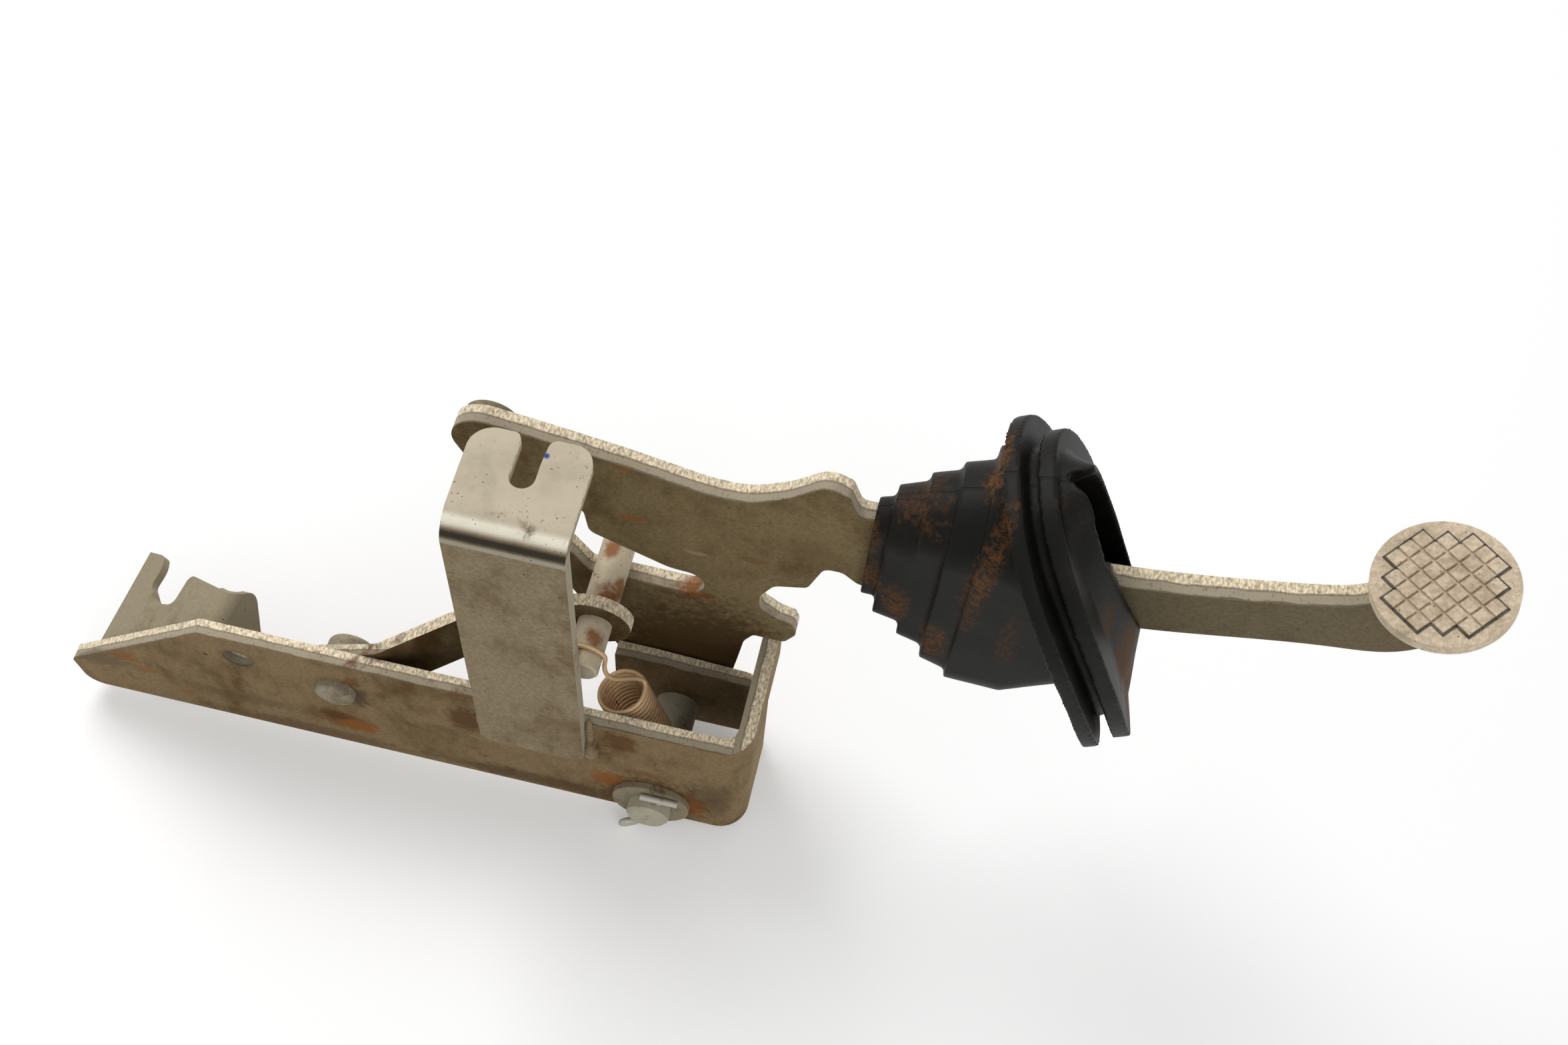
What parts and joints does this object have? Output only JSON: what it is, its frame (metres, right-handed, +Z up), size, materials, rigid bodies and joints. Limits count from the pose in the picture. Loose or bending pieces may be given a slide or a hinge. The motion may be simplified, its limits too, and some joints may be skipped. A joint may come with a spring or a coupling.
{
  "type": "differential lock pedal",
  "caption": "Lever pedal with a gridded foot pad and stepped rubber floor boot, swinging in a folded steel bracket with a spring-loaded link arm and two cable stays.",
  "frame": {"origin": "centre of the bracket's bolt hole, in the outer face of the near wall", "axes": "+X along the bracket towards the pedal pad, +Y along the pivot from the near wall to the lever, +Z up, across the bracket towards the lever's cable end"},
  "size_m": [0.476, 0.1038, 0.2173],
  "materials": {
    "bracket_channel": "yellowish zinc plate with rust blotches",
    "front_cable_stay": "yellowish zinc plate",
    "front_stay_weld_left": "plated weld bead with rust",
    "front_stay_weld_right": "plated weld bead with rust",
    "left_cable_stay": "yellowish zinc plate",
    "arm_pivot_rivet": "zinc plate",
    "link_arm": "yellowish zinc plate with rust",
    "eye_pin": "zinc plate, worn",
    "eye_pin_weld": "rusty weld fillet",
    "return_spring": "coppery spring wire",
    "lever_plate": "yellowish zinc plate with rust blotches",
    "cable_end_boss": "zinc plate",
    "pivot_shaft": "zinc plate",
    "washer": "bright zinc",
    "split_pin": "bright zinc",
    "pedal_bar": "yellowish zinc plate",
    "pedal_pad": "pale plated steel with a raised grid",
    "floor_boot": "matt black rubber with brown dust"
  },
  "bodies": {
    "bracket": {"bracket_channel": "bracket_channel", "front_cable_stay": "front_cable_stay", "front_stay_weld_left": "front_stay_weld_left", "front_stay_weld_right": "front_stay_weld_right", "left_cable_stay": "left_cable_stay", "arm_pivot_rivet": "arm_pivot_rivet", "return_spring": "return_spring"},
    "arm": {"link_arm": "link_arm", "eye_pin": "eye_pin", "eye_pin_weld": "eye_pin_weld"},
    "pedal": {"lever_plate": "lever_plate", "cable_end_boss": "cable_end_boss", "pivot_shaft": "pivot_shaft", "washer": "washer", "split_pin": "split_pin", "pedal_bar": "pedal_bar", "pedal_pad": "pedal_pad", "floor_boot": "floor_boot"}
  },
  "joints": [
    {"name": "pedal_swing", "type": "hinge", "parent": "bracket", "child": "pedal", "pos_m": [0.153, 0.023, -0.043], "axis": [0, -1, 0], "range_deg": [0, 16]},
    {"name": "arm_swing", "type": "hinge", "parent": "bracket", "child": "arm", "pos_m": [0.036, 0.0085, -0.007], "axis": [0, -1, 0], "range_deg": [-2.2, 0], "deforming": ["return_spring"]}
  ],
  "couplings": [
    {"joint": "arm_swing", "follows": "pedal_swing", "ratio": -0.13}
  ]
}
